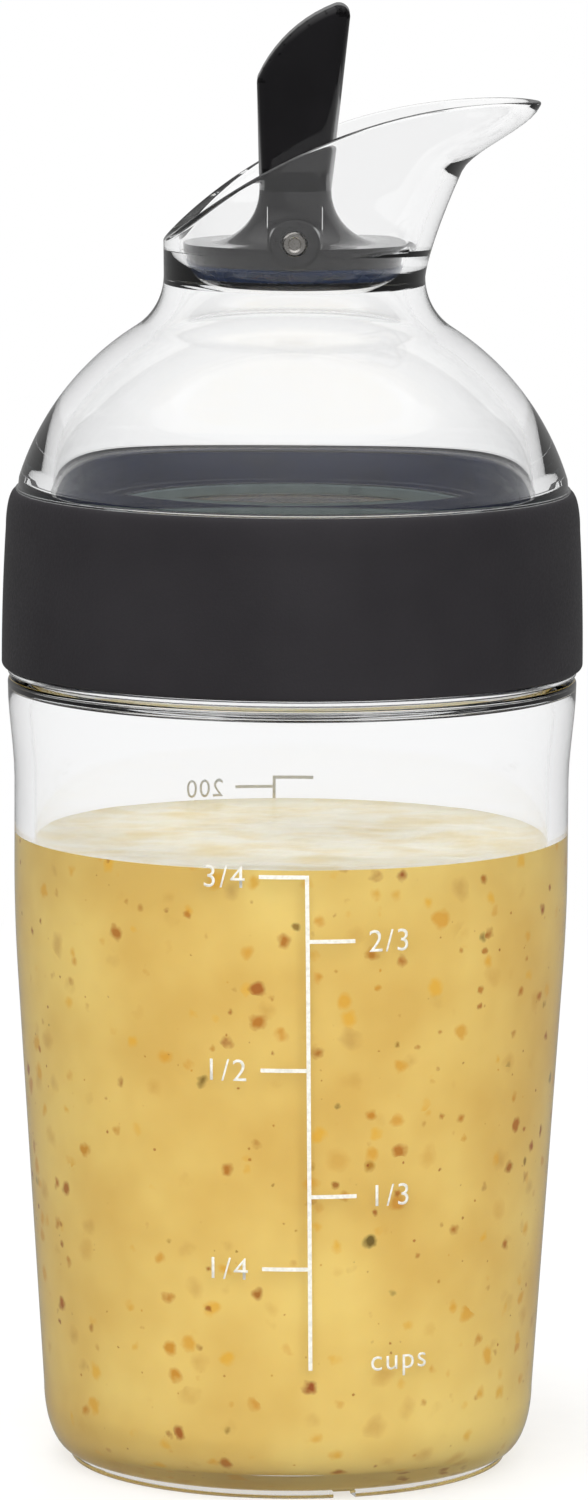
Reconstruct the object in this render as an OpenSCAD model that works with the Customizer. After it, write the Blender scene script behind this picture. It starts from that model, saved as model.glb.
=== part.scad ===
/* [Cup] */
// Height of the cup from the table to its mouth
cup_h = 104.5; // [102:0.5:126]
// Outside radius of the cup where its wall stops widening
cup_r = 32; // [31:0.25:36]
// Outside radius at the low end of the tapered wall
cup_low_r = 28.45; // [27:0.25:30]
// Wall of the cup
cup_wall = 2.3; // [1.6:0.1:3]
// Thickness of the cup's floor
floor_t = 2.4; // [1.6:0.1:5]
// Height at which the wall stops widening
taper_top = 70; // [60:1:78]
// Height of the rounding between the foot ring and the wall
low_round = 7.5; // [5:0.5:10]
// Outside radius of the foot ring
foot_r = 25.3; // [22:0.1:26.5]
// Radial width of the foot ring
foot_w = 2.5; // [1.5:0.1:4]
// Height of the foot ring
foot_h = 1; // [0.6:0.1:2]
// Number of drain notches in the foot ring
notches = 3; // [2:1:6]
// Width of a drain notch
notch_w = 2.6; // [1:0.1:5]
// Height of a drain notch
notch_h = 0.8; // [0.3:0.05:0.95]

/* [Neck of the cup] */
// Height of the neck that the lid screws over
neck_h = 13.2; // [11:0.1:15]
// How far the neck steps in from the widest wall
neck_step = 3; // [2.5:0.1:4]
// Wall of the neck
neck_wall = 2; // [1.5:0.1:2.6]
// Swelling of the wall under the shoulder
shoulder_swell = 0.8; // [0:0.1:1.2]
// Rounding of the shoulder's edge
shoulder_round = 1.3; // [0.5:0.1:1.8]

/* [Dressing] */
// Height of the dressing's surface above the table
fill_h = 73; // [20:0.1:80]

/* [Gasket] */
// Thickness of the gasket, pressed flat
gasket_t = 1.4; // [0.8:0.1:2.5]
// How far the gasket stays inside the neck's faces
gasket_inset = 0.15; // [0.05:0.05:0.4]

/* [Lid] */
// Radial room between neck and skirt, where the threads meet
thread_room = 1; // [0.8:0.1:1.6]
// Wall of the skirt
skirt_t = 1.5; // [1:0.1:2]
// Gap between the cup's shoulder and the skirt's lip
skirt_gap = 0.5; // [0.3:0.1:1.5]
// Thickness of the skirt's lip under the collar
lip_t = 0.7; // [0.4:0.1:1.5]
// How far the collar rises above the gasket
collar_rise = 7; // [6:0.1:9]
// Height of the straight bore above the gasket
bore_h = 6.5; // [5.5:0.1:7]
// Offset of the dome's arc from the axis
dome_off = 1.2; // [0:0.1:3]
// Drop of the arc's centre below the collar's top
dome_drop = 8.1; // [5:0.1:11]
// Radius of the fillet between dome and neck
neck_fillet = 7; // [4:0.5:8]

/* [Collar] */
// Radial thickness of the hard collar ring
ring_t = 0.9; // [0.7:0.1:2]
// Radial room between the ring and its neighbours
ring_play = 0.2; // [0.15:0.05:0.4]
// Radial thickness of the soft grip band
band_t = 0.7; // [0.6:0.1:1.5]
// Height of the band's part that turns in over the ring
band_over = 1.6; // [1:0.1:2.4]
// How far the band leans in before it turns over
band_lean = 0.45; // [0:0.05:0.6]
// Height of the band's upper rounding
band_top_h = 4.2; // [2:0.1:5]
// Rounding of the band's lower edge
band_round = 0.6; // [0.3:0.1:0.6]

/* [Spout] */
// Outside radius of the round neck of the spout
spout_r = 15; // [14:0.25:17]
// Wall of the spout
spout_wall = 1.8; // [1.4:0.1:2.4]
// Height from the end of the fillet to the lip's crest
spout_h = 20.2; // [18:0.25:24]
// How far the lip reaches forward of the neck
lip_reach = 13.3; // [8:0.25:16]
// Radius of the pouring lip seen from above
lip_r = 8; // [6:0.25:10]
// Radius of the rim's arc seen from the side
rim_arc_r = 60; // [50:1:80]
// Distance of the rim arc's crest behind the tip
rim_crest = 2.8; // [0:0.1:6]
// Height of the pin above the end of the fillet
pin_rise = 4.65; // [4:0.05:6]
// Height of the spherical seat below the pin
seat_depth = 5.9; // [5:0.1:7]
// Throat below the seat, narrower than the neck by this
throat_step = 0.7; // [0.2:0.1:1.2]
// Height of the straight throat below the seat
throat_h = 3.9; // [3:0.1:5]

/* [Valve lever] */
// Radius of the steel pin
pin_r = 1.4; // [1:0.05:1.8]
// Running clearance of the lever on the pin
pin_play = 0.05; // [0.02:0.01:0.1]
// Radial clearance of the hard flap in its seat
flap_gap = 0.35; // [0.2:0.05:0.8]
// Radial clearance of the soft seal in its seat
seal_gap = 0.05; // [0.02:0.01:0.1]
// Height of the seal band
seal_h = 1.6; // [1:0.1:2.2]
// Radial depth of the seal
seal_t = 1.6; // [1:0.1:2.5]
// Height of the seal's lower edge above the flap's underside
seal_low = 1; // [0.5:0.1:1.6]
// Thickness of the flap
flap_t = 5; // [4:0.1:5.3]
// Radius of the knuckles round the pin
knuckle_r = 2.75; // [2.2:0.05:3.2]
// Radius of the round stem
stem_r = 4.1; // [3:0.1:5]
// Radius of the flare between flap and stem
flare_r = 6; // [4:0.25:7]
// Thickness of the lever front to back at its foot
lever_foot_t = 7.8; // [6:0.1:9]
// Thickness of the lever front to back at its head
lever_head_t = 10.2; // [8:0.1:12]
// Width of the lever across the spout
lever_w = 10; // [7:0.25:12]
// Height of the lever's tip above the pin
lever_h = 26.4; // [20:0.2:30]
// Drop from the lever's tip to the back edge of its thumb face
thumb_drop = 8.2; // [5:0.1:10]
// Radius of the curved thumb face
thumb_r = 16; // [13:0.5:30]
// Rounding of the lever's edges
lever_round = 1.3; // [0.8:0.1:2]

/* [Hidden] */
$fn = 96;
e = 0.01;

// Cup
shoulder_z = cup_h - neck_h;
floor_z = foot_h + floor_t;
wall_z = foot_h + low_round;
notch_turn = 75;
ease_h = 13;
swell_h = 12;
neck_blend = 2;
slope = (cup_r - cup_low_r) / (taper_top - wall_z - ease_h / 2);
swell_z = shoulder_z - swell_h;
inner_round = 4.5;
neck_r = cup_r - neck_step;
neck_in = neck_r - neck_wall;
mouth_round = 0.6;

// Lid, stacked on the cup's mouth
dome_step = 0.45;
bore_step = 0.4;
ring_head = 0.1;
lip_inset = 0.7;
seat_z = cup_h + gasket_t;
collar_top = seat_z + collar_rise;
skirt_low = shoulder_z + skirt_gap;
collar_low = skirt_low + lip_t;
skirt_in = neck_r + thread_room;
skirt_out = skirt_in + skirt_t;
ring_in = skirt_out + ring_play;
ring_out = ring_in + ring_t;
ring_top = collar_top - band_over - ring_head;
band_in = ring_out + ring_play;
band_r = band_in + band_t;
dome_r = skirt_out + dome_step;
bore_r = neck_in + bore_step;

// Dome: an arc outside and a fillet up to the neck
fillet_x = spout_r + neck_fillet;
arc_z = collar_top - dome_drop;
arc_r = norm([dome_r - dome_off, dome_drop]);
neck_z = arc_z + sqrt(pow(arc_r + neck_fillet, 2) - pow(fillet_x - dome_off, 2));
meet = arc_r / (arc_r + neck_fillet);
meet_x = dome_off + (fillet_x - dome_off) * meet;
meet_z = arc_z + (neck_z - arc_z) * meet;

// Spout, pin and spherical seat
seat_open = 1.7;
back_swell = 0.5;
tip_x = spout_r + lip_reach;
tip_z = neck_z + spout_h;
arc_cx = tip_x - rim_crest;
pin_z = neck_z + pin_rise;
seat_r = spout_r - spout_wall;
throat_z = pin_z - seat_depth;
seat_top_z = pin_z - seat_open;
throat_r = seat_r - throat_step;

// Dome inside: an arc from the straight bore to the throat, so the wall thickens downwards
inner_z = seat_z + bore_h;
inner_rise = throat_z - throat_h - inner_z;
inner_r = (pow(bore_r - throat_r, 2) + pow(inner_rise, 2)) / (2 * (bore_r - throat_r));

// Pockets for the lever's knuckles
pocket_gap = 0.25;
pocket_deep = 0.7;
pocket_h = 4.2;
pocket_y = seat_r + pocket_deep;
pin_inset = 0.1;
pin_end = spout_r - pin_inset;

// Valve lever, measured from the pin
flap_r = seat_r - flap_gap;
seal_r = seat_r - seal_gap;
flap_lift = 0.2;
flap_low = -seat_depth + flap_lift;
flap_top = flap_low + flap_t;
groove_r = flap_r - seal_t;
knuckle_gap = 0.2;
knuckle_y = pocket_y - knuckle_gap;
dish_r = 7.5;
dish_h = 2;
rib_t = 1.2;
foot_x = lever_foot_t / 2;
stem_h = 0.6;
flare_sink = 0.04;
flare_z = flap_top + flare_r - flare_sink;
stem_z = flap_top + flare_r + stem_h;
stem_blend = 2.6;
foot_z = stem_z + stem_blend;
root_inset = 0.4;
root_z = stem_z - 1.5 * stem_h;

function smooth(t) = let (u = min(1, max(0, t))) u * u * (3 - 2 * u);

// Outside radius of the cup's wall at height z
function cup_out(z) =
    cup_r - slope * (max(0, taper_top - ease_h - z) + ease_h * pow(min(1, max(0,
    (taper_top - z) / ease_h)), 2) / 2)
    + shoulder_swell * smooth((z - swell_z) / (shoulder_z - shoulder_round - swell_z));

// Inside radius of the cup's wall at height z, drawn in to the neck
function cup_in(z) =
    let (s = smooth((z - shoulder_z) / neck_blend + 1))
    (cup_out(z) - cup_wall) * (1 - s) + neck_in * s;

// A quarter turn of arc with half-widths a and b, from angle t0 to t1
function bend(x, z, a, b, t0, t1, n = 8) =
    [for (i = [0 : n]) let (t = t0 + (t1 - t0) * i / n) [x + a * cos(t), z + b * sin(t)]];

wall_steps = 20;
blend_steps = 4;
blend_z = shoulder_z - neck_blend;
function wall_at(i, low, high) = low + (high - low) * i / wall_steps;

// Rounded outside, from the foot ring up to the mouth
cup_outline = concat(
    [[foot_r - foot_w, foot_h], [foot_r - foot_w, 0], [foot_r, 0]],
    bend(foot_r, wall_z, cup_low_r - foot_r, low_round, -90, 0),
    [for (i = [1 : wall_steps]) let (z = wall_at(i, wall_z, shoulder_z - shoulder_round))
        [cup_out(z), z]],
    bend(cup_out(shoulder_z) - shoulder_round, shoulder_z - shoulder_round,
        shoulder_round, shoulder_round, 10, 90),
    [[neck_r, shoulder_z]],
    bend(neck_r - mouth_round, cup_h - mouth_round, mouth_round, mouth_round, 0, 90, 4),
    bend(neck_in + mouth_round, cup_h - mouth_round, mouth_round, mouth_round, 90, 180, 4));

// Inside, from the mouth down to the middle of the floor
round_z = floor_z + inner_round;
bowl_round = bend(cup_in(round_z) - inner_round, round_z, inner_round, inner_round, -15, -90, 6);
cup_inline = concat(
    [for (i = [0 : blend_steps]) let (z = shoulder_z - neck_blend * i / blend_steps)
        [cup_in(z), z]],
    [for (i = [1 : wall_steps]) let (z = wall_at(i, blend_z, round_z)) [cup_in(z), z]],
    bowl_round,
    [[0, floor_z], [0, foot_h]]);

module cup() {
    color([0.8, 0.84, 0.86, 0.4])
    difference() {
        rotate_extrude() polygon(concat(cup_outline, cup_inline));
        for (i = [0 : notches - 1])
            rotate(i * 360 / notches - notch_turn)
            translate([foot_r - foot_w / 2, 0, 0])
            cube([2 * foot_w, notch_w, 2 * notch_h], center = true);
    }
}

// The dressing meets the cup's wall, so its side runs along the rows of the wall
function row_r(i) = cup_in(wall_at(i, blend_z, round_z));
rows_down = (blend_z - fill_h) / (blend_z - round_z) * wall_steps;
fill_row = floor(rows_down);
fill_r = row_r(fill_row) + (row_r(fill_row + 1) - row_r(fill_row)) * (rows_down - fill_row);

module dressing() {
    color([0.86, 0.71, 0.37])
    rotate_extrude()
    polygon(concat(
        [[0, fill_h], [fill_r, fill_h]],
        [for (i = [fill_row + 1 : wall_steps]) [row_r(i), wall_at(i, blend_z, round_z)]],
        bowl_round,
        [[0, floor_z]]));
}

module lid_gasket() {
    color([0.55, 0.6, 0.58])
    translate([0, 0, cup_h])
    difference() {
        cylinder(r = neck_r - gasket_inset, h = gasket_t);
        translate([0, 0, -1])
        cylinder(r = neck_in + gasket_inset, h = gasket_t + 2);
    }
}

// Half section of skirt, bore, dome and neck
module lid_section() {
    translate([skirt_in, skirt_low]) square([skirt_t, collar_top - skirt_low]);
    translate([skirt_in, skirt_low]) square([band_r - lip_inset - skirt_in, lip_t]);
    difference() {
        union() {
            translate([0, seat_z]) square([skirt_out, collar_top - seat_z]);
            intersection() {
                translate([dome_off, arc_z]) circle(r = arc_r);
                translate([0, collar_top - e]) square([dome_r, arc_r]);
            }
            difference() {
                translate([0, meet_z - e]) square([meet_x, seat_top_z - meet_z]);
                translate([fillet_x, neck_z]) circle(r = neck_fillet);
                translate([spout_r, neck_z]) square([fillet_x, spout_h]);
            }
        }
        translate([0, seat_z - 1]) square([bore_r, bore_h + 1]);
        intersection() {
            translate([bore_r - inner_r, inner_z]) circle(r = inner_r);
            translate([0, inner_z - e]) square([bore_r, inner_r]);
        }
        translate([0, seat_z]) square([throat_r, throat_z - seat_z]);
    }
}

// Side profile of the spout: how far it reaches forward at height z
function rise(z) = min(1, max(0, (z - neck_z) / (tip_z - neck_z)));
function reach(z) = lip_reach * (0.6 * pow(rise(z), 1.3) + 0.4 * smooth((rise(z) - 0.6) / 0.36));

// Plan outline at height z: a large arc behind drawn to a small one in front
function back_r(z) = spout_r + back_swell * rise(z);
function front_r(z) = back_r(z) + (lip_r - back_r(z)) * reach(z) / lip_reach;
function back_c(z) = back_swell / 2 * rise(z);
function front_c(z) = spout_r + reach(z) - front_r(z);
function lead(a) = smooth((cos(a) - 0.06) / 0.64);
function plan(z, a, inset) =
    let (s = lead(a), r = back_r(z) + (front_r(z) - back_r(z)) * s - inset,
         c = back_c(z) + (front_c(z) - back_c(z)) * s)
    [c + r * cos(a), r * sin(a), z];

// Height of the rim in direction a, where the plan outline meets the rim's arc
function rim_at(x) = tip_z - rim_arc_r + sqrt(pow(rim_arc_r, 2) - pow(x - arc_cx, 2));
function rim_z(a, z, n = 8) = n == 0 ? z : rim_z(a, rim_at(plan(z, a, 0)[0]), n - 1);

spout_sides = 80;
spout_rows = 12;
spout_start = 0.3;
spout_low = neck_z + spout_start;
rim_round = 0.45;
function spout_ring(t, inset, drop) =
    [for (i = [0 : spout_sides - 1])
        let (a = i * 360 / spout_sides, top = rim_z(a, tip_z) - drop,
             z = spout_low + (top - spout_low) * t, p = plan(z, a, inset))
        p];
spout_rings = concat(
    [for (k = [0 : spout_rows]) spout_ring(k / spout_rows, 0, rim_round)],
    [spout_ring(1, rim_round, 0), spout_ring(1, spout_wall - rim_round, 0)],
    [for (k = [spout_rows : -1 : 0]) spout_ring(k / spout_rows, spout_wall, rim_round)]);

// Closed skin through a loop of rings, the last joined to the first
module ring_loop(rings) {
    n = len(rings[0]);
    m = len(rings);
    points = [for (ring = rings) each ring];
    faces = [for (k = [0 : m - 1], i = [0 : n - 1])
        let (a = k * n + i, b = k * n + (i + 1) % n,
             c = ((k + 1) % m) * n + (i + 1) % n, d = ((k + 1) % m) * n + i)
        each [[a, c, b], [a, d, c]]];
    polyhedron(points, faces);
}

module across(r, from, to) {
    rotate([90, 0, 0]) translate([0, 0, -to]) cylinder(r = r, h = to - from);
}

module lid_shell() {
    color([0.82, 0.86, 0.88, 0.4])
    difference() {
        union() {
            rotate_extrude() lid_section();
            ring_loop(spout_rings);
        }
        translate([0, 0, pin_z]) {
            sphere(r = seat_r);
            across(knuckle_r + pocket_gap, -pocket_y, pocket_y);
            translate([-knuckle_r - pocket_gap, -pocket_y, 0])
            cube([2 * (knuckle_r + pocket_gap), 2 * pocket_y, pocket_h]);
            across(pin_r, -spout_r - 2, spout_r + 2);
        }
    }
}

module collar_ring() {
    color([0.05, 0.06, 0.09])
    rotate_extrude()
    translate([ring_in, collar_low])
    square([ring_t, ring_top - collar_low]);
}

// Leans in a little, then turns in over the ring up to the dome's edge
band_low_z = collar_low + band_round;
band_bend_z = collar_top - band_top_h;
band_side = [for (i = [1 : 6]) let (t = i / 6)
    [band_r - band_lean * t * t, band_low_z + (band_bend_z - band_low_z) * t]];

module grip_band() {
    color([0.09, 0.09, 0.1])
    rotate_extrude()
    polygon(concat(
        [[band_in, collar_low]],
        bend(band_r - band_round, band_low_z, band_round, band_round, -90, 0, 5),
        band_side,
        bend(dome_r, band_bend_z, band_r - band_lean - dome_r, band_top_h, 10, 90),
        [[ring_in, collar_top], [ring_in, collar_top - band_over],
         [band_in, collar_top - band_over]]));
}

module pivot_pin() {
    color([0.8, 0.8, 0.8])
    translate([0, 0, pin_z]) across(pin_r, -pin_end, pin_end);
}

// Rim of the flap between two heights, on a sphere round the pin
module sphere_slice(r, low, high) {
    intersection() {
        sphere(r = r);
        translate([-r, -r, low]) cube([2 * r, 2 * r, high - low]);
    }
}

// Centres of the rounding spheres along the curved thumb face
back_lean = 0.4;
tip_inset = 1.5;
tip_drop = 0.9;
back_x = -foot_x - back_lean;
head_x = back_x + lever_head_t;
face_chord = [lever_head_t - tip_inset, thumb_drop];
face_half = norm(face_chord) / 2;
face_turn = asin(min(1, face_half / thumb_r));
face_lean = atan2(face_chord[1], face_chord[0]);
face_c = [back_x, lever_h - thumb_drop] + face_chord / 2
    + sqrt(max(0, pow(thumb_r, 2) - pow(face_half, 2))) * [sin(face_lean), -cos(face_lean)];
face_steps = 5;
face_points = [for (i = [0 : face_steps])
    let (a = face_lean + 90 + face_turn * (1 - 2 * i / face_steps))
    face_c + (thumb_r - lever_round) * [cos(a), sin(a)]];

module paddle() {
    spots = concat(face_points,
        [[head_x - lever_round, lever_h - lever_round - tip_drop],
         [foot_x - lever_round, foot_z], [-foot_x + lever_round, foot_z]]);
    hull() {
        for (p = spots, side = [-1, 1])
            translate([p[0], side * (lever_w / 2 - lever_round), p[1]])
            sphere(r = lever_round, $fn = 32);
        translate([0, 0, root_z]) cylinder(r = stem_r - root_inset, h = stem_h, $fn = 32);
    }
}

module flare() {
    rotate_extrude()
    difference() {
        translate([0, flap_top - 0.5]) square([stem_r + flare_r, stem_z - flap_top + 0.5]);
        translate([stem_r + flare_r, flare_z]) circle(r = flare_r);
        translate([stem_r, flare_z]) square([flare_r + 1, stem_h + 1]);
    }
}

module lever() {
    color([0.04, 0.04, 0.05])
    translate([0, 0, pin_z])
    difference() {
        union() {
            sphere_slice(flap_r, flap_low, flap_top);
            flare();
            across(knuckle_r, -knuckle_y, knuckle_y);
            paddle();
        }
        across(pin_r + pin_play, -seat_r - 2, seat_r + 2);
        translate([0, 0, flap_low + seal_low])
        difference() {
            cylinder(r = seat_r, h = seal_h);
            translate([0, 0, -1]) cylinder(r = groove_r, h = seal_h + 2);
        }
        translate([0, 0, flap_low - 1])
        difference() {
            cylinder(r = dish_r, h = dish_h + 1);
            for (i = [0 : 2])
                rotate(i * 60) translate([0, 0, dish_h / 2])
                cube([3 * dish_r, rib_t, dish_h + 2], center = true);
        }
    }
}

module valve_seal() {
    color([0.1, 0.12, 0.2])
    translate([0, 0, pin_z])
    difference() {
        sphere_slice(seal_r, flap_low + seal_low, flap_low + seal_low + seal_h);
        translate([0, 0, flap_low]) cylinder(r = groove_r, h = flap_t);
    }
}

cup();
dressing();
lid_gasket();
lid_shell();
collar_ring();
grip_band();
pivot_pin();
lever();
valve_seal();
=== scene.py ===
"""Looks of a salad dressing shaker bottle: clear cup, domed lid with a spout, flap valve and grip band.

Sizes are in millimetres in the classes and become metres where a mesh is made. +Z is up, +X is the
spout's side, and the front of the cup faces -Y.
"""

import logging
import math
from collections.abc import Callable, Sequence
from dataclasses import dataclass, field
from enum import Enum

import bmesh
import bpy
from mathutils import Matrix, Vector, noise

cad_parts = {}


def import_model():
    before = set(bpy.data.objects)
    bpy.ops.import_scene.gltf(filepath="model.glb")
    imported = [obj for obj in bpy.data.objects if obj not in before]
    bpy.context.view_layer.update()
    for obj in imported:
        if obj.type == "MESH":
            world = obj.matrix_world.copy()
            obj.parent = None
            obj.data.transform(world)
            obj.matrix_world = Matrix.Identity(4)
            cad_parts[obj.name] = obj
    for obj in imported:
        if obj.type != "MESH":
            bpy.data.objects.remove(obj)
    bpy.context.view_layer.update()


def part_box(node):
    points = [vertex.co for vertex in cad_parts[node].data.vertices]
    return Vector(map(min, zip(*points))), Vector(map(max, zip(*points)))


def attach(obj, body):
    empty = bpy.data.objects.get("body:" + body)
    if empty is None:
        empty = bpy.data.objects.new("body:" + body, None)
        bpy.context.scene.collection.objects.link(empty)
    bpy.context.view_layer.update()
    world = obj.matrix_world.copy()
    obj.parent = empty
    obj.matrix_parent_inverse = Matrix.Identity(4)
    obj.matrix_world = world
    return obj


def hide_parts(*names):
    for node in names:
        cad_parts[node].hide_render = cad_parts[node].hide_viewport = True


logging.basicConfig(level=logging.INFO, format="%(message)s")
log = logging.getLogger("shaker")

MM = 0.001
Point = tuple[float, float]


class Turn(Enum):
    """Which way a screw ridge stands from its wall."""

    OUT = 1.0
    IN = -1.0


class Side(Enum):
    """Side of the scale's line that a tick points to, seen from outside the cup."""

    LEFT = -1.0
    RIGHT = 1.0


# Curves and sections


def clamp(value: float) -> float:
    """Keeps a number between 0 and 1."""
    return min(1.0, max(0.0, value))


def smooth(value: float) -> float:
    """Eases a number from 0 to 1 with level ends."""
    t = clamp(value)
    return t * t * (3 - 2 * t)


def mix(low: float, high: float, share: float) -> float:
    """Goes from low to high by a share of 0 to 1."""
    return low + (high - low) * share


def arc(centre: Point, radius: float, start: float, end: float, steps: int) -> list[Point]:
    """Points along a circle's arc.

    Args:
        centre: Centre of the circle.
        radius: Its radius.
        start: First angle in degrees.
        end: Last angle in degrees.
        steps: Number of pieces of the arc.

    Returns:
        steps + 1 points from start to end.
    """
    turns = [math.radians(mix(start, end, i / steps)) for i in range(steps + 1)]
    return [(centre[0] + radius * math.cos(t), centre[1] + radius * math.sin(t)) for t in turns]


def rows(low: float, high: float, count: int) -> list[float]:
    """Evenly spaced heights from low to high, both included."""
    return [mix(low, high, i / count) for i in range(count + 1)]


def swept(first: Vector, corner: Vector, last: Vector, steps: int) -> list[Point]:
    """Points of a soft curve from first to last that leans towards a corner."""
    shares = [k / steps for k in range(steps + 1)]
    spots = [first * (1 - t) ** 2 + corner * 2 * t * (1 - t) + last * t * t for t in shares]
    return [(spot.x, spot.y) for spot in spots]


def eased(corners: Sequence[tuple[float, float, float]], steps: int = 4) -> list[Point]:
    """Rounds the corners of an outline.

    Args:
        corners: Each corner with the length that its rounding takes from both sides, 0 for none.
        steps: Pieces in each rounding.

    Returns:
        The outline's points.
    """
    points: list[Point] = []
    for i, (x, z, size) in enumerate(corners):
        here = Vector((x, z))
        if size <= 0 or i in (0, len(corners) - 1):
            points.append((x, z))
            continue
        before = Vector(corners[i - 1][:2]) - here
        after = Vector(corners[i + 1][:2]) - here
        first = here + before.normalized() * min(size, before.length / 2)
        last = here + after.normalized() * min(size, after.length / 2)
        points += swept(first, here, last, steps)
    return points


# Meshes


def as_object(mesh: bmesh.types.BMesh, name: str, sharp: float = 38.0) -> bpy.types.Object:
    """Closes a bmesh's seams and makes it an object of the scene.

    Args:
        mesh: The bmesh in millimetres, which is used up.
        name: Name of the piece.
        sharp: Angle in degrees from which an edge stays crisp.

    Returns:
        The new object at the origin, in metres.
    """
    bmesh.ops.remove_doubles(mesh, verts=mesh.verts, dist=1e-4)
    bmesh.ops.dissolve_degenerate(mesh, edges=mesh.edges, dist=1e-4)
    bmesh.ops.recalc_face_normals(mesh, faces=mesh.faces)
    bmesh.ops.scale(mesh, vec=(MM, MM, MM), verts=mesh.verts)
    data = bpy.data.meshes.new(name)
    mesh.to_mesh(data)
    mesh.free()
    piece = bpy.data.objects.new(name, data)
    bpy.context.scene.collection.objects.link(piece)
    shade(piece, sharp)
    return piece


def shade(piece: bpy.types.Object, sharp: float) -> None:
    """Shades a piece smooth, with crisp edges from an angle in degrees."""
    for face in piece.data.polygons:
        face.use_smooth = True
    piece.data.set_sharp_from_angle(angle=math.radians(sharp))


def spin_section(
    mesh: bmesh.types.BMesh,
    section: Sequence[Point],
    steps: int,
    closed: bool,
    axis: Vector = Vector((0, 0, 1)),
) -> None:
    """Turns a half section all the way round an axis through the origin.

    Args:
        mesh: The bmesh that takes the shape.
        section: Points of distance from the axis and place along it.
        steps: Faces round the axis.
        closed: Whether the last point joins the first.
        axis: The axis, +Z or +Y.
    """
    upright = axis.z > 0.5
    verts = [mesh.verts.new((r, 0, z) if upright else (r, z, 0)) for r, z in section]
    pairs = list(zip(verts, verts[1:]))
    if closed:
        pairs.append((verts[-1], verts[0]))
    edges = [mesh.edges.new(pair) for pair in pairs]
    bmesh.ops.spin(
        mesh,
        geom=verts + edges,
        cent=(0, 0, 0),
        axis=axis,
        angle=math.tau,
        steps=steps,
        use_merge=True,
        use_duplicate=False,
    )


def spun(name: str, section: Sequence[Point], steps: int = 128, closed: bool = True) -> bpy.types.Object:
    """Makes a round piece by turning a half section about the bottle's axis."""
    mesh = bmesh.new()
    spin_section(mesh, section, steps, closed)
    return as_object(mesh, name)


def carve(piece: bpy.types.Object, cutter: bpy.types.Object, sharp: float = 38.0) -> None:
    """Cuts one closed piece out of another and removes the cutter.

    Args:
        piece: The piece that is cut.
        cutter: The shape taken out of it.
        sharp: Angle in degrees from which an edge stays crisp.
    """
    step = piece.modifiers.new("cut", "BOOLEAN")
    step.operation = "DIFFERENCE"
    step.solver = "EXACT"
    step.object = cutter
    settle(piece)
    bpy.data.objects.remove(cutter)
    shade(piece, sharp)


def settle(piece: bpy.types.Object) -> None:
    """Puts a piece's modifiers into its mesh."""
    graph = bpy.context.evaluated_depsgraph_get()
    data = bpy.data.meshes.new_from_object(piece.evaluated_get(graph))
    piece.modifiers.clear()
    piece.data = data


@dataclass
class Ridge:
    """A screw ridge wound up a round wall."""

    wall_r: float
    height: float
    low: float
    turns: float
    stands: Turn
    pitch: float = 4.0
    root_w: float = 1.5
    crest_w: float = 0.7
    sunk: float = 0.12
    fade: float = 0.08
    steps: int = 72

    def build(self, name: str) -> bpy.types.Object:
        """Winds the ridge's section up the wall and fades out its ends."""
        mesh = bmesh.new()
        root = self.wall_r - self.stands.value * self.sunk
        crest = self.wall_r + self.stands.value * self.height
        outline = [
            (root, -self.root_w / 2),
            (crest, -self.crest_w / 2),
            (crest, self.crest_w / 2),
            (root, self.root_w / 2),
        ]
        start = mesh.faces.new([mesh.verts.new((r, 0, self.low + z)) for r, z in outline])
        count = int(self.steps * self.turns)
        bmesh.ops.spin(
            mesh,
            geom=[start, *start.edges, *start.verts],
            cent=(0, 0, 0),
            axis=(0, 0, 1),
            dvec=(0, 0, self.pitch * self.turns / count),
            angle=math.tau * self.turns,
            steps=count,
        )
        bmesh.ops.holes_fill(mesh, edges=mesh.edges, sides=0)
        for vert in mesh.verts:
            along = clamp((vert.co.z - self.low) / (self.pitch * self.turns))
            keep = smooth(min(along, 1 - along) / self.fade)
            radius = vert.co.xy.length
            scale = mix(root, radius, max(keep, 0.02)) / radius
            vert.co.x *= scale
            vert.co.y *= scale
        return as_object(mesh, name)


# Finishes


def srgb(code: str) -> tuple[float, float, float, float]:
    """Turns an sRGB hex colour into the linear colour that shaders take."""
    parts = [int(code[i : i + 2], 16) / 255 for i in (1, 3, 5)]
    linear = [p / 12.92 if p <= 0.04045 else ((p + 0.055) / 1.055) ** 2.4 for p in parts]
    return (linear[0], linear[1], linear[2], 1.0)


def add_node(
    tree: bpy.types.NodeTree,
    kind: str,
    inputs: dict[str | int, object] | None = None,
    **settings: object,
) -> bpy.types.Node:
    """Adds a node with its settings and links.

    Args:
        tree: The node tree.
        kind: Blender's name of the node type.
        inputs: A value or another node's output socket for each input.
        **settings: Properties of the node itself.

    Returns:
        The new node.
    """
    made = tree.nodes.new(kind)
    for name, value in settings.items():
        setattr(made, name, value)
    for key, value in (inputs or {}).items():
        if isinstance(value, bpy.types.NodeSocket):
            tree.links.new(value, made.inputs[key])
        else:
            made.inputs[key].default_value = value
    return made


def per_mm(size: float) -> float:
    """Pattern scale on Object coordinates, in metres, for features of a size in millimetres."""
    return 1.0 / (size * MM)


def ramp(
    tree: bpy.types.NodeTree, source: bpy.types.NodeSocket, stops: Sequence[tuple[float, str]]
) -> bpy.types.NodeSocket:
    """Colours a value by stops of place and sRGB hex code."""
    made = add_node(tree, "ShaderNodeValToRGB", {"Fac": source})
    elements = made.color_ramp.elements
    while len(elements) < len(stops):
        elements.new(0.5)
    for element, (place, code) in zip(elements, stops):
        element.position = place
        element.color = srgb(code)
    return made.outputs["Color"]


def span(
    tree: bpy.types.NodeTree,
    source: bpy.types.NodeSocket,
    from_low: float,
    from_high: float,
    to_low: float,
    to_high: float,
) -> bpy.types.NodeSocket:
    """Stretches a value from one range to another, held at the ends."""
    return add_node(
        tree,
        "ShaderNodeMapRange",
        {"Value": source, "From Min": from_low, "From Max": from_high, "To Min": to_low, "To Max": to_high},
        clamp=True,
    ).outputs["Result"]


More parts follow.
